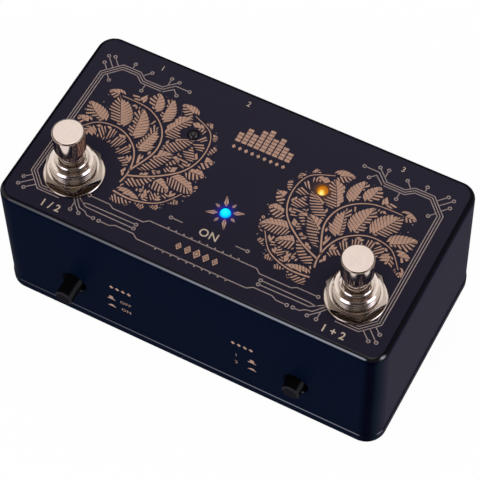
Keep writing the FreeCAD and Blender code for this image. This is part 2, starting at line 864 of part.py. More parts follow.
save("enclosure_shell", enclosure_shell())
save("base_plate", base_plate())
save("base_screws", *base_screws())
save_footswitches()
save_jacks()
save_power_inlet()
save_lamps()
save_push_switches()
save_board()
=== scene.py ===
import math
import random

import bpy
from mathutils import Matrix, Vector


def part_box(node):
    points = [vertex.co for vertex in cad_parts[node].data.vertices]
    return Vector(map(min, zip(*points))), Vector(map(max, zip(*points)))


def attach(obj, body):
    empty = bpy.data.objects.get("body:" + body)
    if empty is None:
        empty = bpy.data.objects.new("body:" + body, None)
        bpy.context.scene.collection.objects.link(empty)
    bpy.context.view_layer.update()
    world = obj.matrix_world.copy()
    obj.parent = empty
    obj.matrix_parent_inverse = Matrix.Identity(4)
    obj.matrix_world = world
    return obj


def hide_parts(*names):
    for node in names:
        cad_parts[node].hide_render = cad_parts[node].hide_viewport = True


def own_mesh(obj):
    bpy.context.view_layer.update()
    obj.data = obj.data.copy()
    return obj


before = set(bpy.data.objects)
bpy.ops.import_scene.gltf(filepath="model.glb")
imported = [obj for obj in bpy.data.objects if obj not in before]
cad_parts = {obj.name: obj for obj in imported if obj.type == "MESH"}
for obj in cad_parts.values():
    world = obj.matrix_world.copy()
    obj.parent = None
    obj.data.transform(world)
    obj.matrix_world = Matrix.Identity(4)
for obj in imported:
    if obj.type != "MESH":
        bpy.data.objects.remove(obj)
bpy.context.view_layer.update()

# Sizes and places on the pedal are in millimetres, and turned into metres where they are used.
MM = 0.001


def top_of(node):
    """The height of a node's top in the frame."""
    return round(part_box(node)[1][2] / MM, 3)


def middle_of(node):
    """The middle of a node in the frame, seen from above."""
    low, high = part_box(node)
    return tuple(round((low[i] + high[i]) / 2 / MM, 3) for i in (0, 1))


# The box, the footswitches' nuts and the lamps, as the solids have them
TOP_Z = top_of("enclosure_shell")
NUT_TOP = top_of("footswitch_nuts")
WALL_AT_FLOOR = 30.089
WALL_LEAN = 0.01384
LAMP_PLACES = {name: middle_of("lamp_" + name) for name in ("left", "middle", "right")}
LAMP_RADIUS = 1.5

# What the lit lamps spill round them: colour, strength, and how fast it fades with each millimetre
LAMP_SPILLS = {"middle": ((0.02, 0.02, 0.80), 0.7), "right": ((1.0, 0.36, 0.04), 0.28)}
SPILL_FADE = 1.6
PAINT_CATCH = 0.55
INK_CATCH = 0.8

# Colours of the lit lamps, from the hottest spot outwards in lamp radii
BLUE_GLOW = [(0.0, (0.02, 0.90, 1.0)), (0.72, (0.0, 0.80, 1.0)), (1.0, (0.0, 0.24, 1.0))]
AMBER_GLOW = [
    (0.12, (1.0, 0.90, 0.33)),
    (0.40, (0.95, 0.60, 0.08)),
    (0.68, (0.56, 0.22, 0.015)),
    (1.0, (0.44, 0.13, 0.004)),
]
AMBER_HOT_SPOT = (0.2, -1.2)

# Paint: the walls with painted reflections, from those that face front (0) to the one that faces right (1),
# arrises and panel
# The front navy is the paint's own; the dark band and the teal at the front corner and the paler grey
# towards the right wall are painted reflections
WALL_COLORS_AND_REFLECTIONS = [
    (0.05, (0.0016, 0.0046, 0.0158)),
    (0.30, (0.0003, 0.0007, 0.0060)),
    (0.55, (0.0004, 0.0010, 0.0070)),
    (0.78, (0.0050, 0.0110, 0.0190)),
    (0.97, (0.0178, 0.0162, 0.0318)),
]
# Painted shade: the near-black that the arrises show between their highlights
ARRIS_PAINTED_SHADE = (0.0006, 0.0007, 0.0030)
# The printed panel's tone, paler towards the back: partly its own colour and partly painted sheen
PANEL_FRONT_WITH_SHEEN = (0.0163, 0.0147, 0.0250)
PANEL_BACK_WITH_SHEEN = (0.0215, 0.0196, 0.0316)

# Shares of red, green and blue of a metal's colour that painted shade leaves in its corners
CORNER_SHADE = (0.20, 0.15, 0.10)

# Distance between the tracks of the board
TRACK_PITCH = 1.6


# Materials
class Finish:
    """One procedural material, with short names for the nodes it is built from."""

    def __init__(self, name, color=(0.5, 0.5, 0.5), metallic=0.0, roughness=0.5):
        self.material = bpy.data.materials.new(name)
        self.material.use_nodes = True
        self.tree = self.material.node_tree
        self.tree.nodes.clear()
        self.output = self.node("ShaderNodeOutputMaterial")
        self.shader = self.node("ShaderNodeBsdfPrincipled")
        self.link(self.shader.outputs["BSDF"], self.output.inputs["Surface"])
        self.place = self.node("ShaderNodeTexCoord").outputs["Object"]
        self.set("Base Color", (*color, 1.0))
        self.set("Metallic", metallic)
        self.set("Roughness", roughness)

    def node(self, kind, **settings):
        made = self.tree.nodes.new(kind)
        for key, value in settings.items():
            setattr(made, key, value)
        return made

    def link(self, source, target):
        self.tree.links.new(source, target)

    def feed(self, target, value):
        """A constant on a socket, or a link to it."""
        if isinstance(value, bpy.types.NodeSocket):
            self.link(value, target)
        else:
            target.default_value = value

    def set(self, socket, value):
        """The same for one of the shader's own sockets."""
        self.feed(self.shader.inputs[socket], value)

    def compute(self, operation, first, second=0.0, clamp=False):
        made = self.node("ShaderNodeMath", operation=operation, use_clamp=clamp)
        self.feed(made.inputs[0], first)
        self.feed(made.inputs[1], second)
        return made.outputs[0]

    def product(self, first, *others):
        for other in others:
            first = self.compute("MULTIPLY", first, other)
        return first

    def noise(self, scale, detail=3.0, stretch=(1, 1, 1)):
        """Cloudy noise with so many features in a metre, drawn out along an axis if asked."""
        mapping = self.node("ShaderNodeMapping")
        mapping.inputs["Scale"].default_value = stretch
        self.link(self.place, mapping.inputs["Vector"])
        made = self.node("ShaderNodeTexNoise")
        self.link(mapping.outputs["Vector"], made.inputs["Vector"])
        made.inputs["Scale"].default_value = scale
        made.inputs["Detail"].default_value = detail
        return made.outputs["Fac"]

    def between(self, value, low, high, start=0.0, end=1.0):
        """The value's span low..high spread over start..end."""
        made = self.node("ShaderNodeMapRange")
        self.feed(made.inputs["Value"], value)
        made.inputs["From Min"].default_value = low
        made.inputs["From Max"].default_value = high
        made.inputs["To Min"].default_value = start
        made.inputs["To Max"].default_value = end
        return made.outputs["Result"]

    def blend(self, share, first, second):
        made = self.node("ShaderNodeMix", data_type="RGBA")
        self.feed(made.inputs["Factor"], share)
        for socket, value in ((made.inputs["A"], first), (made.inputs["B"], second)):
            self.feed(socket, value if isinstance(value, bpy.types.NodeSocket) else (*value, 1.0))
        return made.outputs["Result"]

    def ramp(self, value, *stops):
        """Colours at places along a value from 0 to 1, blended in between."""
        made = self.node("ShaderNodeValToRGB")
        self.feed(made.inputs["Fac"], value)
        band = made.color_ramp.elements
        while len(band) < len(stops):
            band.new(1.0)
        for element, (place, color) in zip(band, stops):
            element.position = place
            element.color = (*color, 1.0)
        return made.outputs["Color"]

    def openness(self, distance):
        """From 0 in a corner to 1 in the open, with neighbours counted up to so many millimetres."""
        made = self.node("ShaderNodeAmbientOcclusion", samples=12)
        made.inputs["Distance"].default_value = distance * MM
        return made.outputs["AO"]

    def bump(self, height, depth, strength, edge=0.0):
        """Relief of so many millimetres, over edges that shade as if rounded by so many."""
        made = self.node("ShaderNodeBump")
        made.inputs["Strength"].default_value = strength
        made.inputs["Distance"].default_value = depth * MM
        self.link(height, made.inputs["Height"])
        if edge:
            rounded = self.node("ShaderNodeBevel", samples=16)
            rounded.inputs["Radius"].default_value = edge * MM
            self.link(rounded.outputs["Normal"], made.inputs["Normal"])
        self.link(made.outputs["Normal"], self.shader.inputs["Normal"])

    def grain(self):
        """The fine grain of moulded plastic."""
        self.bump(self.noise(1800, 2.0), 0.01, 0.5)

    def normal_parts(self):
        """The three parts of the surface direction in the object's own frame."""
        split = self.node("ShaderNodeSeparateXYZ")
        self.link(self.node("ShaderNodeTexCoord").outputs["Normal"], split.inputs[0])
        return split.outputs

    def place_parts(self):
        """The three parts of the place in the object's own frame, in metres."""
        split = self.node("ShaderNodeSeparateXYZ")
        self.link(self.place, split.inputs[0])
        return split.outputs

    def away_from(self, x, y, z=TOP_Z):
        """Distance in millimetres from a point."""
        made = self.node("ShaderNodeVectorMath", operation="DISTANCE")
        self.link(self.place, made.inputs[0])
        made.inputs[1].default_value = (x * MM, y * MM, z * MM)
        return self.compute("DIVIDE", made.outputs["Value"], MM)

    def lamp_glow(self, catch):
        """The light that the two lit lamps spill onto a surface close by, which catches a share of it."""
        total = None
        for name, (color, level) in LAMP_SPILLS.items():
            distance = self.compute("SUBTRACT", self.away_from(*LAMP_PLACES[name]), LAMP_RADIUS)
            fall = self.compute("EXPONENT", self.compute("MULTIPLY", distance, -SPILL_FADE))
            share = self.compute("MULTIPLY", fall, catch * level, clamp=True)
            part = self.blend(share, (0, 0, 0), color)
            if total is None:
                total = part
            else:
                both = self.node("ShaderNodeMix", data_type="RGBA", blend_type="ADD")
                both.inputs["Factor"].default_value = 1.0
                self.link(total, both.inputs["A"])
                self.link(part, both.inputs["B"])
                total = both.outputs["Result"]
        self.set("Emission Color", total)
        self.set("Emission Strength", 1.0)


def dimmed(color, share):
    return tuple(share * part for part in color)


def box_paint():
    """Deep navy powder coat: dull on the walls, with reflections painted into their colour, glossy on the
    arrises, with painted shade along them, and a printed top, less blue than the walls, whose paler tone is
    partly painted sheen.
    """
    finish = Finish("paint", roughness=0.4)
    finish.set("Specular IOR Level", 0.002)
    facing = finish.normal_parts()
    place = finish.place_parts()
    patch = finish.between(finish.noise(60, 2.0), 0.3, 0.7, -0.03, 0.03)
    # The walls' colour, with reflections painted in by the way each wall faces
    wall_with_reflections = finish.ramp(finish.compute("ADD", facing["X"], patch), *WALL_COLORS_AND_REFLECTIONS)
    # The panel's tone, partly painted sheen, paler towards the back
    patchy_y = finish.compute("ADD", place["Y"], finish.compute("MULTIPLY", patch, 0.2))
    panel_with_sheen = finish.blend(finish.between(patchy_y, -28 * MM, 22 * MM), PANEL_FRONT_WITH_SHEEN, PANEL_BACK_WITH_SHEEN)
    turned = finish.between(facing["Z"], 0.35, 0.65)
    level = finish.between(facing["Z"], 0.93, 0.995)
    # The arrises take painted shade, and the top its partly painted sheen
    finish.set("Base Color", finish.blend(level, finish.blend(turned, wall_with_reflections, ARRIS_PAINTED_SHADE), panel_with_sheen))
    finish.set("Coat Weight", arris_polish(finish, facing, place))
    finish.set("Coat Roughness", 0.07)
    finish.set("Coat IOR", 2.03)
    finish.bump(finish.noise(1300, 2.0), 0.004, 0.5)
    finish.lamp_glow(PAINT_CATCH)
    return finish.material


def arris_polish(finish, facing, place):
    """How much the paint shines: only where it is rounded, most in front, high up and to the right."""
    rise = finish.between(facing["Z"], 0.50, 0.60)
    fall = finish.between(facing["Z"], 0.90, 0.98, 1.0, 0.0)
    ahead = finish.between(facing["Y"], -0.30, -0.12, 1.0, 0.06)
    raised = finish.between(place["Z"], 10 * MM, 36 * MM, 0.62, 1.0)
    to_right = finish.between(place["X"], -50 * MM, 30 * MM, 0.27, 1.0)
    return finish.product(rise, fall, ahead, raised, to_right)


def nickel(name, color, roughness, scratches, edge=0.0, painted_dark_rim=False, painted_dark_front=False):
    """Plated metal with faint wipe marks and brown shade painted into its corners.

    If asked, the painted shade also covers the rim of its top, or the front of the nuts.
    """
    finish = Finish(name, color, metallic=1.0, roughness=roughness)
    cloud = finish.noise(500)
    plate = finish.blend(finish.between(cloud, 0.3, 0.7), color, dimmed(color, 0.94))
    # Painted shade: darker where neighbouring parts close in
    shaded_color = tuple(part * share for part, share in zip(color, CORNER_SHADE))
    out_of_shade = finish.between(finish.openness(1.6), 0.25, 0.85)
    # Painted shade on the rounded rim of the top
    if painted_dark_rim:
        facing = finish.normal_parts()
        flat = finish.between(facing["Z"], 0.90, 0.97)
        upright = finish.between(facing["Z"], 0.05, 0.20, 1.0, 0.0)
        off_rim = finish.compute("MAXIMUM", finish.compute("MAXIMUM", flat, upright), 0.25)
        out_of_shade = finish.product(out_of_shade, off_rim)
    # Painted shade on the front faces of the nuts, below their top
    if painted_dark_front:
        off_front = finish.between(finish.normal_parts()["Y"], -0.42, -0.16, 0.28, 1.0)
        above = finish.between(finish.place_parts()["Z"], NUT_TOP * MM, (NUT_TOP + 0.05) * MM)
        out_of_shade = finish.product(out_of_shade, finish.compute("MAXIMUM", off_front, above))
    finish.set("Base Color", finish.blend(out_of_shade, shaded_color, plate))
    finish.set("Roughness", finish.between(cloud, 0.25, 0.75, roughness * 0.9, roughness * 1.1))
    finish.bump(finish.noise(1100, 2.0, (1, 1, 3)), 0.0006, scratches, edge)
    return finish.material


def moulded(name, color, roughness):
    """Moulded plastic, a little uneven in its gloss."""
    finish = Finish(name, color, roughness=roughness)
    cloud = finish.between(finish.noise(240, 2.0), 0.3, 0.7)
    finish.set("Base Color", finish.blend(cloud, color, dimmed(color, 0.82)))
    finish.set("Roughness", finish.between(cloud, 0.0, 1.0, roughness, roughness * 1.2))
    finish.grain()
    return finish.material


def button_plastic():
    """Black buttons with a painted highlight on the rim in front and a painted highlight streak along the
    right side.
    """
    finish = Finish("plastic_button", roughness=0.4)
    finish.set("Specular IOR Level", 0.002)
    facing = finish.normal_parts()
    cloud = finish.between(finish.noise(240, 2.0), 0.3, 0.7, -0.02, 0.02)
    dark, streak_highlight, shade = (0.0022, 0.0022, 0.0026), (0.027, 0.029, 0.030), (0.004, 0.004, 0.005)
    # Painted highlight streak towards the right side, with painted shade at its far right
    side = finish.ramp(finish.compute("ADD", facing["X"], cloud),
                       (0.55, dark), (0.75, streak_highlight), (0.85, streak_highlight), (0.96, shade))
    rim = finish.between(facing["Y"], -0.35, -0.15, 1.0, 0.0)
    front = finish.between(facing["Y"], -0.97, -0.85, 1.0, 0.0)
    # Painted highlight on the rim in front
    rounded = finish.blend(rim, side, (0.022, 0.021, 0.025))
    finish.set("Base Color", finish.blend(front, rounded, (0.0085, 0.0078, 0.0112)))
    finish.grain()
    return finish.material


def board_resist():
    """Green board with paler copper tracks under the resist."""
    finish = Finish("board", roughness=0.35)
    place = finish.place_parts()
    slanted = finish.compute("ADD", place["X"], finish.compute("MULTIPLY", place["Y"], 0.5))
    across = finish.compute("PINGPONG", slanted, TRACK_PITCH * MM)
    lines = finish.between(across, TRACK_PITCH / 2 * MM, (TRACK_PITCH / 2 + 0.1) * MM)
    finish.set("Base Color", finish.blend(lines, (0.008, 0.075, 0.03), (0.02, 0.13, 0.05)))
    finish.bump(finish.noise(900), 0.01, 0.4)
    return finish.material


def lamp_lens(name, place, hot_spot, glow):
    """A lit lamp: brightest at its hot spot, so far off its middle, and dimmer towards the rim."""
    finish = Finish(name, dimmed(glow[-1][1], 0.2), roughness=0.25)
    finish.set("Specular IOR Level", 0.1)
    parts = finish.place_parts()
    across = finish.compute("SUBTRACT", parts["X"], (place[0] + hot_spot[0]) * MM)
    back = finish.compute("SUBTRACT", parts["Y"], (place[1] + hot_spot[1]) * MM)
    square = finish.compute("ADD", finish.product(across, across), finish.product(back, back))
    radius = finish.compute("DIVIDE", finish.compute("SQRT", square), LAMP_RADIUS * MM)
    finish.set("Emission Color", finish.ramp(radius, *glow))
    finish.set("Emission Strength", 1.0)
    finish.bump(finish.noise(500), 0.01, 0.2)
    return finish.material


def unlit_lens():
    """A clear lamp, dark inside, with a bright skin."""
    finish = Finish("lens_unlit", roughness=0.08)
    cloud = finish.between(finish.noise(900), 0.3, 0.7)
    finish.set("Base Color", finish.blend(cloud, (0.008, 0.007, 0.009), (0.018, 0.013, 0.014)))
    finish.bump(finish.noise(700), 0.01, 0.2)
    return finish.material


def ink(name, color):
    """Printed copper ink, a little uneven in its cover."""
    finish = Finish(name, color, metallic=0.15, roughness=0.55)
    cloud = finish.between(finish.noise(1500), 0.35, 0.65)
    finish.set("Base Color", finish.blend(cloud, color, dimmed(color, 0.80)))
    finish.bump(finish.noise(3000, 2.0), 0.004, 0.4)
    finish.lamp_glow(INK_CATCH)
    return finish.material


FINISHES = {
    "enclosure_paint": box_paint(),
    "bright_nickel": nickel("nickel_bright", (0.80, 0.685, 0.615), 0.13, 0.06, edge=0.08, painted_dark_front=True),
    "satin_nickel": nickel("nickel_satin", (0.76, 0.635, 0.575), 0.08, 0.06, painted_dark_rim=True),
    "jack_nickel": nickel("nickel_jack", (0.70, 0.66, 0.60), 0.2, 0.5),
    "screw_steel": nickel("steel_screw", (0.12, 0.12, 0.13), 0.35, 0.6),
    "frame_steel": nickel("steel_frame", (0.55, 0.55, 0.54), 0.32, 0.8),
    "spring_steel": nickel("steel_spring", (0.42, 0.42, 0.43), 0.25, 0.5),
    "contact_tin": nickel("tin_contact", (0.68, 0.67, 0.64), 0.3, 0.7),
    "switch_housing": moulded("plastic_switch", (0.03, 0.06, 0.16), 0.45),
    "black_plastic": moulded("plastic_black", (0.012, 0.012, 0.013), 0.4),
    "button_black": button_plastic(),
    "stem_white": moulded("plastic_stem", (0.7, 0.69, 0.66), 0.4),
    "board_green": board_resist(),
    "relay_white": moulded("plastic_relay", (0.6, 0.6, 0.58), 0.45),
    "chip_black": moulded("plastic_chip", (0.018, 0.018, 0.02), 0.5),
    "capacitor_sleeve": moulded("plastic_sleeve", (0.02, 0.025, 0.05), 0.3),
    "spacer_white": moulded("plastic_spacer", (0.6, 0.6, 0.57), 0.5),
    "lamp_blue": lamp_lens("lens_blue", LAMP_PLACES["middle"], (0, 0), BLUE_GLOW),
    "lamp_amber": lamp_lens("lens_amber", LAMP_PLACES["right"], AMBER_HOT_SPOT, AMBER_GLOW),
    "lamp_clear": unlit_lens(),
}
INK_SOLID = ink("ink_copper", (0.455, 0.268, 0.190))
INK_LINE = ink("ink_line", (0.31, 0.240, 0.225))
INK_LABEL = ink("ink_label", (0.52, 0.415, 0.320))

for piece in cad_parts.values():
    for holder in piece.material_slots:
        holder.material = FINISHES[holder.material.name]


def pressed_spring(side):
    """The same spring as in the solids, as a copy of its own shown in its place."""
    node = "footswitch_" + side + "_spring"
    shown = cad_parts[node].copy()
    shown.data = shown.data.copy()
    shown.name = "spring_" + side
    bpy.context.collection.objects.link(shown)
    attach(shown, "pedal")
    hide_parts(node)
    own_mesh(shown)


for side in ("left", "right"):
    pressed_spring(side)


# Flat print on the top panel and the front wall
PRINT_LIFT = 0.02
LAYOUT_X = 0.1

# Height of a capital, as a share of the built-in font's size
CAPITAL_SHARE = 0.729


def on_top_panel(x, y):
    return Vector((x, y, TOP_Z + PRINT_LIFT)) * MM


def on_front_wall(x, z):
    return Vector((x, -(WALL_AT_FLOOR - WALL_LEAN * z + PRINT_LIFT), z)) * MM


class Print:
    """A thin printed piece gathered from flat outlines."""

    def __init__(self, name, surface, finish):
        self.name = name
        self.surface = surface
        self.finish = finish
        self.points = []
        self.faces = []

    def outline(self, points):
        first = len(self.points)
        self.points += [self.surface(x, y) for x, y in points]
        self.faces.append(tuple(range(first, first + len(points))))

    def block(self, left, low, width, height):
        right, high = left + width, low + height
        self.outline([(left, low), (right, low), (right, high), (left, high)])

    def lozenge(self, x, y, half_width, half_height):
        self.outline([(x - half_width, y), (x, y - half_height), (x + half_width, y), (x, y + half_height)])

    def ring(self, x, y, outer, inner, steps=16, narrow=1.0):
        """A ring, round or with so many corners, open in the middle and narrowed by a share if asked."""
        turns = [2 * math.pi * step / steps for step in range(steps + 1)]
        for start, end in zip(turns, turns[1:]):
            corners = [(outer, start), (outer, end), (inner, end), (inner, start)]
            self.outline([(x + narrow * r * math.cos(a), y + r * math.sin(a)) for r, a in corners])

    def line(self, points, width):
        """A line of even width with mitred corners."""
        left = shifted(points, width / 2)
        right = shifted(points, -width / 2)
        for index in range(len(points) - 1):
            self.outline([right[index], right[index + 1], left[index + 1], left[index]])

    def words(self, text, x, y, height, spacing=1.0, boldness=0.0):
        """Plain figures or words, standing on y and centred on x, of a capital height."""
        curve = bpy.data.curves.new(self.name + "_words", "FONT")
        curve.body = text
        curve.align_x = "CENTER"
        curve.space_character = spacing
        curve.offset = boldness
        curve.resolution_u = 3
        holder = bpy.data.objects.new(self.name + "_words", curve)
        mesh = bpy.data.meshes.new_from_object(holder)
        scale = height / CAPITAL_SHARE
        first = len(self.points)
        self.points += [self.surface(x + v.co.x * scale, y + v.co.y * scale) for v in mesh.vertices]
        self.faces += [tuple(first + index for index in face.vertices) for face in mesh.polygons]
        bpy.data.objects.remove(holder)
        bpy.data.curves.remove(curve)
        bpy.data.meshes.remove(mesh)

    def finish_piece(self):
        mesh = bpy.data.meshes.new(self.name)
        mesh.from_pydata(self.points, [], self.faces)
        mesh.materials.append(self.finish)
        mesh.update()
        made = bpy.data.objects.new(self.name, mesh)
        bpy.context.collection.objects.link(made)
        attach(made, "pedal")


def shifted(points, distance):
    """The line moved sideways, to its left when positive, with mitred corners."""
    moved = []
    for index, point in enumerate(points):
        before = points[max(index - 1, 0)]
        after = points[min(index + 1, len(points) - 1)]
        normals = []
        for start, end in ((before, point), (point, after)):
            dx, dy = end[0] - start[0], end[1] - start[1]
            length = math.hypot(dx, dy)
            if length > 0:
                normals.append((-dy / length, dx / length))
        nx = sum(normal[0] for normal in normals) / len(normals)
        ny = sum(normal[1] for normal in normals) / len(normals)
        stretch = distance / (nx * nx + ny * ny)
        moved.append((point[0] + nx * stretch, point[1] + ny * stretch))
    return moved


def smooth(points, steps):
    """So many points to each stretch of a rounded line through the given ones."""
    chain = [points[0]] + list(points) + [points[-1]]
    result = []
    for a, b, c, d in zip(chain, chain[1:], chain[2:], chain[3:]):
        for step in range(steps):
            t = step / steps
            place = []
            for i in (0, 1):
                slope = c[i] - a[i]
                curve = 2 * a[i] - 5 * b[i] + 4 * c[i] - d[i]
                twist = 3 * b[i] - a[i] - 3 * c[i] + d[i]
                place.append(0.5 * (2 * b[i] + slope * t + curve * t * t + twist * t * t * t))
            result.append(tuple(place))
    result.append(tuple(points[-1]))
    return result


def part_way(ends, share):
    """The point at a share of the way between two."""
    return tuple(ends[0][i] + (ends[1][i] - ends[0][i]) * share for i in (0, 1))


# Line work. Places are given outwards from the middle of the layout, so that each side mirrors the other.
LINE_WIDTH = 0.26
LINE_PITCH = 0.7

# Ring pads, each overlapped by its line for a share of its radius
PAD_RADIUS = 0.56
PAD_HOLE = 0.27
PAD_OVERLAP = 0.25

# The two ruled lines in front: where each runs and how far out, and the teeth along it
ROW_BACK = -18.4
ROW_BACK_END = 15.4
ROW_FRONT = -24.65
ROW_FRONT_END = 15.7
TEETH = 10
TOOTH_PITCH = 2.24
TOOTH_HALF = 0.5
TOOTH_HEIGHT = 0.72

# The bundle of three lines down the side of the panel, from its back end to the front of the switch
BUNDLE = [
    (32.7, 19.2), (38.5, 19.2), (40.6, 20.85), (45.5, 20.85), (49.6, 16.6),
    (49.6, -18.45), (45.7, -22.3), (39.5, -22.3),
]

# Single lines, each with a ring pad at its last point
PAD_LINES = [
    [(33.1, 19.9), (29.9, 22.9)],
    [(32.0, 20.9), (32.0, 23.0)],
    [(32.7, 19.2), (30.0, 21.75), (26.2, 21.75)],
    [(32.3, 18.5), (29.8, 20.6), (28.6, 19.4)],
    [(37.4, 18.5), (37.4, 16.7)],
    [(39.2, 21.0), (37.9, 22.4)],
    [(43.0, 21.5), (43.0, 22.8)],
    [(46.9, 20.6), (48.8, 22.6)],
    [(48.0, 19.5), (50.5, 22.1)],
    [(49.1, 18.2), (50.5, 19.7)],
    [(48.2, 16.9), (47.1, 15.7)],
    [(49.3, -19.9), (50.7, -21.1)],
    [(48.2, -21.0), (50.9, -23.5)],
    [(47.0, -22.2), (49.0, -24.0)],
    [(35.3, -22.4), (35.2, -24.2)],
    [(36.2, -21.0), (34.8, -22.7), (33.0, -24.4)],
    [(35.7, -20.4), (33.3, -23.1), (31.6, -23.4), (30.4, -24.3), (29.0, -24.3)],
    [(35.3, -20.1), (33.3, -21.4), (31.7, -21.1), (18.3, -21.0)],
    [(33.9, -21.1), (32.0, -22.2), (18.3, -22.3)],
    [(7.6, -15.0), (10.6, -15.0)],
    [(ROW_BACK_END, ROW_BACK), (16.7, -19.45), (25.6, -19.45), (26.9, -18.7), (32.4, -18.7)],
    [(ROW_FRONT_END, ROW_FRONT), (17.2, -23.65), (22.5, -23.65), (23.9, -24.35), (26.5, -24.35)],
]


def on_side(side, out, y):
    return (LAYOUT_X + side * out, y)


def line_work():
    lines = Print("print_lines", on_top_panel, INK_LINE)
    for side in (-1, 1):
        for step in (-1, 0, 1):
            track = shifted(BUNDLE, step * LINE_PITCH)
            lines.line([on_side(side, *point) for point in track], LINE_WIDTH)
        for points in PAD_LINES:
            lines.line([on_side(side, *point) for point in points], LINE_WIDTH)
            share = 1 + PAD_RADIUS * (1 - PAD_OVERLAP) / math.dist(*points[-2:])
            lines.ring(*on_side(side, *part_way(points[-2:], share)), PAD_RADIUS, PAD_HOLE)
    for y, end, tip in ((ROW_BACK, ROW_BACK_END, TOOTH_HEIGHT), (ROW_FRONT, ROW_FRONT_END, -TOOTH_HEIGHT)):
        lines.line([on_side(-1, end, y), on_side(1, end, y)], LINE_WIDTH)
        for tooth in range(TEETH):
            x = LAYOUT_X + (tooth - (TEETH - 1) / 2) * TOOTH_PITCH
            lines.outline([(x - TOOTH_HALF, y), (x + TOOTH_HALF, y), (x, y + tip)])
    lines.finish_piece()


# Figures and words on the panel: middle and foot, height, spacing and boldness of each
PANEL_WORDS = [
    ("1", -35.7, 24.6, 1.65, 1.0, 0.0),
    ("2", -9.8, 24.7, 1.65, 1.0, 0.0),
    ("3", 35.3, 24.6, 1.65, 1.0, 0.0),
    ("1 / 2", -40.2, -26.9, 2.15, 1.05, 0.02),
    ("1 + 2", 40.6, -26.9, 2.15, 1.05, 0.02),
    ("ON", LAYOUT_X, -16.3, 2.4, 1.1, 0.01),
]


def labels():
    words = Print("print_labels", on_top_panel, INK_LABEL)
    for entry in PANEL_WORDS:
        words.words(*entry)
    words.finish_piece()


# Star round the middle lamp: where its long and short rays start and end, and half their width
STAR_RAYS = 8
STAR_TURN = 22.5
LONG_RAY = (1.9, 5.2, 0.6)
SHORT_RAY = (2.2, 3.9, 0.4)
RAY_WAIST = 0.35
RAY_RIB = 0.07

# Row of framed lozenges between the two ruled lines, the largest in the middle
FRAMED_Y = -21.6
FRAMED_PITCH = 2.6
FRAMED_SIZE = 1.5
FRAMED_SHRINK = 0.16
FRAMED_NARROW = 0.72
FRAMED_RINGS = ((0.0, 0.4), (0.62, 1.0))

# Bar figure behind the star: how many blocks each bar has, and where the first starts
BAR_LEVELS = (3, 5, 4, 6, 7, 5, 6, 4, 3)
BAR_PITCH = 1.8
BAR_WIDTH = 1.45
BARS_LEFT = -7.9
BARS_LOW = 13.6
BLOCK_PITCH = 1.05
BLOCK_HEIGHT = 0.86

# The small lozenges under the bars: how far back, and half their width and height
SMALL_Y = 11.8
SMALL_LOZENGE = (0.55, 0.65)


def star(solid):
    """Pointed rays, long and short in turn, each parted by a rib."""
    lamp = Vector(LAMP_PLACES["middle"])
    for step in range(STAR_RAYS):
        turn = math.radians(STAR_TURN + 360 / STAR_RAYS * step)
        near, far, half = LONG_RAY if step % 2 == 0 else SHORT_RAY
        ahead = Vector((math.cos(turn), math.sin(turn)))
        across = Vector((-ahead.y, ahead.x))
        for side in (-1, 1):
            rib = across * RAY_RIB * side
            waist = lamp + ahead * (near + (far - near) * RAY_WAIST) + across * half * side
            solid.outline([lamp + ahead * near + rib, waist, lamp + ahead * far + rib])


def framed_lozenges(solid):
    for step in range(-2, 3):
        x = LAYOUT_X + step * FRAMED_PITCH
        size = FRAMED_SIZE - FRAMED_SHRINK * abs(step)
        for inner, outer in FRAMED_RINGS:
            solid.ring(x, FRAMED_Y, size * outer, size * inner, steps=4, narrow=FRAMED_NARROW)


def bar_figure(solid):
    """Stacked bars over a row of small lozenges."""
    for index, levels in enumerate(BAR_LEVELS):
        for level in range(levels):
            solid.block(LAYOUT_X + BARS_LEFT + index * BAR_PITCH, BARS_LOW + level * BLOCK_PITCH,
                        BAR_WIDTH, BLOCK_HEIGHT)
    for step in range(-4, 5):
        solid.lozenge(LAYOUT_X + step * BAR_PITCH, SMALL_Y, *SMALL_LOZENGE)


def ornaments():
    solid = Print("print_ornaments", on_top_panel, INK_SOLID)
    star(solid)
    framed_lozenges(solid)
    bar_figure(solid)
    solid.finish_piece()


# Leaf sprays, drawn in the manner of an engraving: one half of a leaf solid, the other hatched
LIGHT_FROM = 110
LIGHT_COVER = 0.95
HATCH_COVER = 0.55
VEIN_PITCH = 0.95
VEIN_SLANT = 0.14
RIB_HALF = 0.08
STRIP_PARTS = 4
LEAF_MARGIN = 0.16

# The veins' feet along the rib, how far forward their tips may go, and how far out these stay
FEWEST_VEINS = 4
VEINS_START = 0.03
VEINS_SPAN = 0.9
VEINS_END = 0.995
LOW_TIP = 0.92
HIGH_TIP = 1.04

# A leaf's outline, and the share of its length within which all of it lies from its middle
LEAF_BELLY = 0.8
LEAF_BLUNTNESS = 0.75
LEAF_BOUND = 0.62


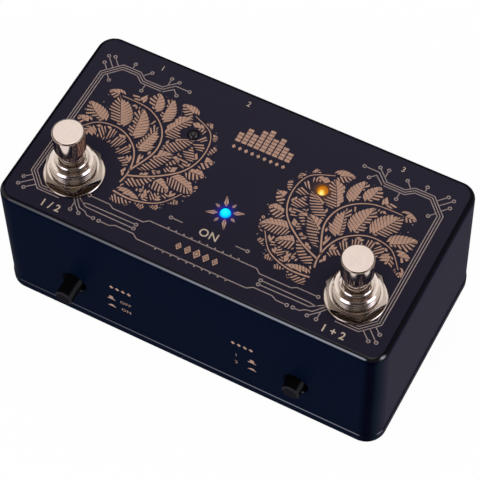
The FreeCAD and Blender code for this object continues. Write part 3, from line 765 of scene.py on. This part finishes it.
class Leaf:
    """One pointed leaf with a rib, cut into strips by its side veins."""

    def __init__(self, base, heading, length, half_width, bend):
        self.base = base
        self.ahead = (math.cos(heading), math.sin(heading))
        self.length = length
        self.half_width = half_width
        self.bend = bend
        self.light_side = 1 if math.cos(heading + math.pi / 2 - math.radians(LIGHT_FROM)) > 0 else -1
        self.middle = self.at(0.5, 0.0)
        rim = [step / 10 for step in range(11)]
        self.rim = [self.at(t, self.reach(t) + LEAF_MARGIN) for t in rim]
        self.rim += [self.at(t, -self.reach(t) - LEAF_MARGIN) for t in reversed(rim)]

    def at(self, t, out):
        """The point at a share of the rib's length and so far out to its left."""
        forward = self.length * t
        out += self.bend * math.sin(math.pi * t)
        return (self.base[0] + self.ahead[0] * forward - self.ahead[1] * out,
                self.base[1] + self.ahead[1] * forward + self.ahead[0] * out)

    def reach(self, t):
        """Half the leaf's width at a share of its length, widest a little short of the middle."""
        if not 0 < t < 1:
            return 0.0
        return self.half_width * math.sin(math.pi * t ** LEAF_BELLY) ** LEAF_BLUNTNESS

    def holds(self, point):
        """True where the leaf covers a point."""
        if math.dist(point, self.middle) > self.length * LEAF_BOUND:
            return False
        inside = False
        for start, end in zip(self.rim, self.rim[1:] + self.rim[:1]):
            if (start[1] > point[1]) != (end[1] > point[1]):
                share = (point[1] - start[1]) / (end[1] - start[1])
                if point[0] < start[0] + share * (end[0] - start[0]):
                    inside = not inside
        return inside

    def strips(self):
        """Four-cornered strips: nearly unbroken on the light side, hatched on the other."""
        count = max(int(self.length / VEIN_PITCH), FEWEST_VEINS)
        for side in (-1, 1):
            cover = LIGHT_COVER if side == self.light_side else HATCH_COVER
            for strip in range(count):
                start = VEINS_START + VEINS_SPAN * strip / count
                end = start + VEINS_SPAN / count * cover
                near, far = min(start + VEIN_SLANT, VEINS_END), min(end + VEIN_SLANT, VEINS_END)
                low = (self.at(start, RIB_HALF * side), self.at(near, side * self.reach(near) * LOW_TIP))
                high = (self.at(end, RIB_HALF * side), self.at(far, side * self.reach(far) * HIGH_TIP))
                for part in range(STRIP_PARTS):
                    inner, outer = part / STRIP_PARTS, (part + 1) / STRIP_PARTS
                    yield [part_way(low, inner), part_way(low, outer),
                           part_way(high, outer), part_way(high, inner)]


# Room that the sprays leave round the switches, the outer lamps and the ring pads
SWITCH_OUT = 40.5
SWITCH_Y = -14.5
SWITCH_ROOM = 12.1
LAMP_ROOM = LAMP_RADIUS + 0.25
PAD_ROOM = 1.7
LAMPS_OUT = [(abs(LAMP_PLACES[name][0] - LAYOUT_X), LAMP_PLACES[name][1]) for name in ("left", "right")]

# The rounded patch that the sprays fill: its middle, half its size, and how square it is
PATCH_OUT = 28.9
PATCH_Y = 0.2
PATCH_HALF_WIDTH = 19.9
PATCH_HALF_DEPTH = 17.9
PATCH_SQUARENESS = 2.6
PATCH_CORNER = 60.0


def kept_clear(out, y):
    """True where the sprays leave room."""
    return (math.hypot(out - SWITCH_OUT, y - SWITCH_Y) < SWITCH_ROOM
            or any(math.dist((out, y), lamp) < LAMP_ROOM for lamp in LAMPS_OUT)
            or any(math.dist((out, y), points[-1]) < PAD_ROOM for points in PAD_LINES))


def beyond(out, y):
    """True outside the patch."""
    across, down = abs(out - PATCH_OUT) / PATCH_HALF_WIDTH, abs(y - PATCH_Y) / PATCH_HALF_DEPTH
    return across ** PATCH_SQUARENESS + down ** PATCH_SQUARENESS > 1 or out + y > PATCH_CORNER


def free(points, leaves, paths, gap):
    """True where no point is kept clear, under a leaf, or closer to a stem than the gap."""
    for point in points:
        if kept_clear(*point) or any(leaf.holds(point) for leaf in leaves):
            return False
        if any(math.dist(point, spot) < gap for path in paths for spot in path):
            return False
    return True


# The points that each stem passes, then the pairs of leaves on it, and their length and half width
STEMS = [
    [(30.0, -16.8), (27.6, -9.0), (29.5, -1.5), (35.5, 2.8), (42.5, 2.2), (47.0, -2.6)],
    [(27.8, -7.5), (24.6, 1.0), (26.4, 7.8), (32.5, 12.0), (41.0, 12.6)],
    [(27.6, -9.0), (21.0, -6.0), (14.9, -0.8), (12.8, 5.8), (14.4, 12.4), (20.5, 15.6)],
    [(29.2, -14.5), (22.5, -14.9), (16.0, -12.6), (12.0, -7.5)],
]
STEM_LEAVES = [(8, 10.4, 3.3), (7, 10.0, 3.2), (8, 8.4, 2.7), (5, 7.8, 2.4)]
STEM_STEPS = 10
STEM_WIDTH = 0.5
STEM_TAPER = 0.6

# Where along a stem its pairs of leaves start and end, and their size at its ends and gain in its middle
PAIRS_START = 0.06
PAIRS_SPAN = 0.93
END_SIZE = 0.72
MIDDLE_GAIN = 0.34

# How leaves vary: degrees off the stem, share of their length, and bend
LEAF_TURNS = (44, 58)
LEAF_LENGTHS = (0.9, 1.1)
LEAF_BENDS = (0.0, 0.8)
SHORTEST_LEAF = 2.4
SHORTENED = 0.9
LEAF_GAP = 0.5

# Fine specks strewn along each stem
SPECK_TRIES = 150
SPECK_SPREAD = 4.4
SPECK_SIZES = (0.07, 0.19)
SPECK_STRETCH = 1.4
SPECK_GAP = 0.6


def leaf_from(base, heading, hand, length, half_width, size, chance):
    """A leaf to the left, to the right or straight on, shortened until it fits the patch."""
    turn = heading + hand * math.radians(chance.uniform(*LEAF_TURNS))
    long = length * size * chance.uniform(*LEAF_LENGTHS)
    bend = -hand * chance.uniform(*LEAF_BENDS)
    made = Leaf(base, turn, long, half_width * size, bend)
    while beyond(*made.at(1, 0)) and long > SHORTEST_LEAF:
        long *= SHORTENED
        made = Leaf(base, turn, long, half_width * size * (long / length) ** 0.5, bend)
    return made


def leaves_and_strips(paths, chance):
    """The leaves of every stem, tip first, and the strips of each that no earlier leaf covers."""
    leaves = []
    strips = []
    for path, (pairs, length, half_width) in zip(paths, STEM_LEAVES):
        for pair in range(pairs, -1, -1):
            share = PAIRS_START + PAIRS_SPAN * pair / pairs
            spot = int(share * (len(path) - 2))
            base = path[spot]
            heading = math.atan2(path[spot + 1][1] - base[1], path[spot + 1][0] - base[0])
            size = END_SIZE + MIDDLE_GAIN * math.sin(math.pi * share)
            for hand in ((0,) if pair == pairs else (-1, 1)):
                made = leaf_from(base, heading, hand, length, half_width, size, chance)
                if not beyond(*made.middle):
                    strips += [strip for strip in made.strips() if free(strip, leaves, paths, LEAF_GAP)]
                    leaves.append(made)
    return leaves, strips


def stem_strips(path):
    """The stem's short stretches, thinner towards its tip."""
    for index in range(len(path) - 1):
        width = STEM_WIDTH * (1 - STEM_TAPER * index / len(path))
        left = shifted(path[index:index + 2], width / 2)
        right = shifted(path[index:index + 2], -width / 2)
        strip = [right[0], right[1], left[1], left[0]]
        if not any(kept_clear(*point) for point in strip):
            yield strip


def speck_places(paths, leaves, chance):
    """Middle and half width of each speck, strewn along the stems where there is room."""
    for path in paths:
        for _ in range(SPECK_TRIES):
            spot = path[int(chance.random() * (len(path) - 1))]
            out, y = spot[0] + chance.gauss(0, SPECK_SPREAD), spot[1] + chance.gauss(0, SPECK_SPREAD)
            size = chance.uniform(*SPECK_SIZES)
            if not beyond(out, y) and free([(out, y)], leaves, paths, SPECK_GAP):
                yield out, y, size


def sprays():
    chance = random.Random(11)
    solid = Print("print_sprays", on_top_panel, INK_SOLID)
    fine = Print("print_specks", on_top_panel, INK_LINE)
    paths = [smooth(points, STEM_STEPS) for points in STEMS]
    leaves, strips = leaves_and_strips(paths, chance)
    strips += [strip for path in paths for strip in stem_strips(path)]
    specks = list(speck_places(paths, leaves, chance))
    for side in (-1, 1):
        for strip in strips:
            solid.outline([on_side(side, *point) for point in strip])
        for out, y, size in specks:
            fine.lozenge(*on_side(side, out, y), side * size, SPECK_STRETCH * size)
    solid.finish_piece()
    fine.finish_piece()


# Marks for each push button: the first lozenge, the middle of its shapes and of its words, and the words
BUTTON_MARKS = [(-21.7, -22.1, -17.8, ("OFF", "ON")), (14.3, 19.8, 15.2, ("1", "2"))]

# The lozenges: how high over the floor, how many, how far apart, and half their width and height
MARK_Z = 21.6
MARK_COUNT = 4
MARK_PITCH = 1.75
MARK_LOZENGE = (0.65, 0.7)

# The two positions: height over the floor, and how far the button shape stands out
MARK_ROWS = [(15.2, 1.3), (11.6, 0.55)]
MARK_WORD_HEIGHT = 1.35
MARK_WORD_SPACING = 1.1

# The button shape: a base with a tapered button on it
BASE_HALF = 1.2
BASE_HEIGHT = 0.35
BUTTON_FOOT_HALF = 0.7
BUTTON_TOP_HALF = 0.5


def front_labels():
    """A row of lozenges for each push button, then its two positions with the shape of the button."""
    solid = Print("print_front", on_front_wall, INK_SOLID)
    for first, shape_x, word_x, words in BUTTON_MARKS:
        for step in range(MARK_COUNT):
            solid.lozenge(first + step * MARK_PITCH, MARK_Z, *MARK_LOZENGE)
        for (low, rise), word in zip(MARK_ROWS, words):
            solid.words(word, word_x, low, MARK_WORD_HEIGHT, MARK_WORD_SPACING)
            solid.block(shape_x - BASE_HALF, low, 2 * BASE_HALF, BASE_HEIGHT)
            foot, top = low + BASE_HEIGHT, low + BASE_HEIGHT + rise
            solid.outline([(shape_x - BUTTON_FOOT_HALF, foot), (shape_x + BUTTON_FOOT_HALF, foot),
                           (shape_x + BUTTON_TOP_HALF, top), (shape_x - BUTTON_TOP_HALF, top)])
    solid.finish_piece()


line_work()
labels()
ornaments()
sprays()
front_labels()


# The studio, in metres: half the floor's length, and how white the camera, metal and glass see it
FLOOR_REACH = 6.0
FLOOR_WHITE = 0.97

# Soft glows: the middle of each, the cosines at which it starts and is full, and its colour
GLOWS = [
    ((30, 0), 0.40, 0.88, (0.66, 0.63, 0.60)),
    ((0, 90), 0.90, 0.98, (0.80, 0.76, 0.73)),
    ((-109, 25), 0.935, 0.985, (1.85, 1.92, 2.4)),
    ((0, 24), 0.935, 0.985, (1.85, 1.92, 2.4)),
    ((-60, 62), 0.955, 0.985, (0.12, 0.11, 0.09)),
]
STUDIO_DIMNESS = (0.050, 0.0475, 0.0455)

# From where a light shows in the panel as a mirror, seen from the camera
MIRRORED_VIEW = (-0.256, 0.447, 0.857)

# The camera, as fitted to the photo: place and aim in millimetres, roll in degrees
CAMERA_PLACE = (141.32, -247.28, 473.94)
CAMERA_AIM = (7.849, -12.902, TOP_Z)
CAMERA_ROLL = -1.969
CAMERA_LENS = 151.1


def floor():
    """A pale floor that keeps the pedal's shadow."""
    mesh = bpy.data.meshes.new("floor")
    low, high = -FLOOR_REACH, FLOOR_REACH
    mesh.from_pydata([(low, low, 0), (high, low, 0), (high, high, 0), (low, high, 0)], [], [(0, 1, 2, 3)])
    made = bpy.data.objects.new("floor", mesh)
    bpy.context.collection.objects.link(made)
    finish = Finish("studio_floor", (0.9, 0.9, 0.9), roughness=0.9)
    finish.set("Specular IOR Level", 0.0)
    white = finish.node("ShaderNodeEmission")
    path = finish.node("ShaderNodeLightPath")
    seen = finish.compute("ADD", path.outputs["Is Camera Ray"], path.outputs["Is Glossy Ray"], clamp=True)
    seen = finish.compute("ADD", seen, path.outputs["Is Transmission Ray"], clamp=True)
    mixed = finish.node("ShaderNodeMixShader")
    finish.link(finish.product(seen, FLOOR_WHITE), mixed.inputs["Fac"])
    finish.link(finish.shader.outputs["BSDF"], mixed.inputs[1])
    finish.link(white.outputs["Emission"], mixed.inputs[2])
    finish.link(mixed.outputs["Shader"], finish.output.inputs["Surface"])
    mesh.materials.append(finish.material)


def bearing(azimuth, elevation):
    """The direction at so many degrees from +X towards +Y, and so many up from the floor."""
    turn, rise = math.radians(azimuth), math.radians(elevation)
    return (math.cos(turn) * math.cos(rise), math.sin(turn) * math.cos(rise), math.sin(rise))


def studio_world():
    """Dim studio with soft glows.

    Each also shines from its opposite, which the floor hides for the raised ones.
    """
    world = bpy.data.worlds.new("studio")
    bpy.context.scene.world = world
    world.use_nodes = True
    nodes, links = world.node_tree.nodes, world.node_tree.links
    nodes.clear()
    direction = nodes.new("ShaderNodeTexCoord").outputs["Generated"]
    total = None
    for toward, start, full, color in GLOWS:
        share = nodes.new("ShaderNodeVectorMath")
        share.operation = "DOT_PRODUCT"
        links.new(direction, share.inputs[0])
        share.inputs[1].default_value = bearing(*toward)
        either = nodes.new("ShaderNodeMath")
        either.operation = "ABSOLUTE"
        links.new(share.outputs["Value"], either.inputs[0])
        part = nodes.new("ShaderNodeMapRange")
        part.interpolation_type = "SMOOTHSTEP"
        part.inputs["From Min"].default_value = start
        part.inputs["From Max"].default_value = full
        links.new(either.outputs[0], part.inputs["Value"])
        tinted = nodes.new("ShaderNodeVectorMath")
        tinted.operation = "SCALE"
        tinted.inputs[0].default_value = color
        links.new(part.outputs["Result"], tinted.inputs["Scale"])
        both = nodes.new("ShaderNodeVectorMath")
        both.inputs[1].default_value = STUDIO_DIMNESS
        if total is not None:
            links.new(total, both.inputs[1])
        links.new(tinted.outputs["Vector"], both.inputs[0])
        total = both.outputs["Vector"]
    sky = nodes.new("ShaderNodeBackground")
    links.new(total, sky.inputs["Color"])
    links.new(sky.outputs["Background"], nodes.new("ShaderNodeOutputWorld").inputs["Surface"])


def soft_light(name, direction, distance, size, radiance, tint=(1, 1, 1), glossy=True):
    """A soft square box that faces the pedal from a direction, with the brightness of its face."""
    data = bpy.data.lights.new(name, "AREA")
    data.shape = "SQUARE"
    data.size = size
    data.color = tint
    data.energy = radiance * math.pi * size * size
    made = bpy.data.objects.new(name, data)
    aim = Vector(direction).normalized()
    made.location = Vector((0, 0, TOP_Z * MM)) + aim * distance
    made.rotation_mode = "QUATERNION"
    made.rotation_quaternion = aim.to_track_quat("Z", "Y")
    made.visible_camera = False
    made.visible_glossy = glossy
    bpy.context.collection.objects.link(made)


def camera():
    data = bpy.data.cameras.new("camera")
    data.sensor_width = 36.0
    data.lens = CAMERA_LENS
    data.clip_start = 0.01
    data.clip_end = 20.0
    made = bpy.data.objects.new("camera", data)
    place, aim = Vector(CAMERA_PLACE) * MM, Vector(CAMERA_AIM) * MM
    roll = Matrix.Rotation(math.radians(CAMERA_ROLL), 3, "Z")
    turn = (aim - place).to_track_quat("-Z", "Y").to_matrix() @ roll
    made.matrix_world = Matrix.Translation(place) @ turn.to_4x4()
    bpy.context.collection.objects.link(made)
    bpy.context.scene.camera = made


floor()
studio_world()
soft_light("light_top", MIRRORED_VIEW, distance=0.9, size=0.8, radiance=1.02, tint=(1.0, 0.99, 0.98))
soft_light("light_fill", bearing(-60, 55), distance=1.2, size=1.2, radiance=1.92, glossy=False)
camera()
bpy.context.scene.view_settings.view_transform = "Standard"
